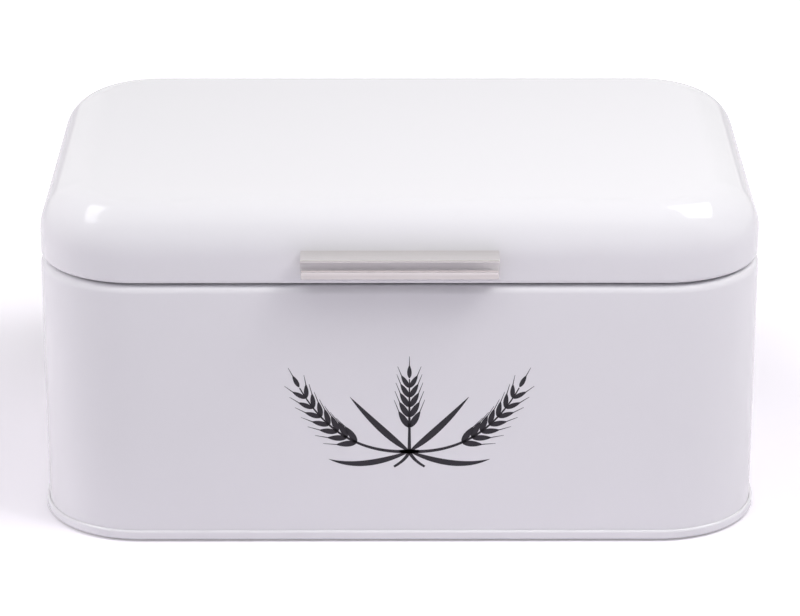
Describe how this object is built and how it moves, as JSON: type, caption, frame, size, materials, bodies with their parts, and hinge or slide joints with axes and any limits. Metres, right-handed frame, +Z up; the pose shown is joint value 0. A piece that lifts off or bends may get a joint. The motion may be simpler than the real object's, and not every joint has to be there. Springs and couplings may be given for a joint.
{
  "type": "bread box",
  "caption": "White painted steel bread box with rounded corners, a domed lid hinged along the rear, a straight satin metal pull and rubber feet.",
  "frame": {"origin": "on the surface that the box stands on, under the centre of the body", "axes": "+X to the box's right as seen from the front, +Y to the rear where the hinges are, +Z up; the handle is on the -Y side"},
  "size_m": [0.3076, 0.2235, 0.1477],
  "materials": {
    "white_paint": "gloss white baked paint on thin steel sheet",
    "satin_aluminium": "extruded, brushed along its length and clear anodised",
    "plated_steel": "pressed steel with bright zinc plate",
    "grey_rubber": "moulded matt dark grey rubber",
    "clear_silicone": "extruded translucent silicone",
    "black_print": "screen printed black ink, baked with the paint"
  },
  "bodies": {
    "box": {"body_wall": "white_paint", "base_panel": "white_paint", "hinge_body_leaf_left": "plated_steel", "hinge_body_leaf_right": "plated_steel", "hinge_pin_left": "plated_steel", "hinge_pin_right": "plated_steel", "body_rivets_left": "plated_steel", "body_rivets_right": "plated_steel", "foot_front_left": "grey_rubber", "foot_front_right": "grey_rubber", "foot_rear_left": "grey_rubber", "foot_rear_right": "grey_rubber"},
    "lid": {"lid_shell": "white_paint", "handle": "satin_aluminium", "handle_studs": "plated_steel", "handle_nuts": "plated_steel", "backing_strip": "plated_steel", "rest_pad": "clear_silicone", "hinge_lid_leaf_left": "plated_steel", "hinge_lid_leaf_right": "plated_steel", "lid_rivets_left": "plated_steel", "lid_rivets_right": "plated_steel"}
  },
  "joints": [
    {"name": "lid_hinge", "type": "hinge", "parent": "box", "child": "lid", "pos_m": [0, 0.1041, 0.11638], "axis": [-1, 0, 0], "range_deg": [0, 100]}
  ]
}
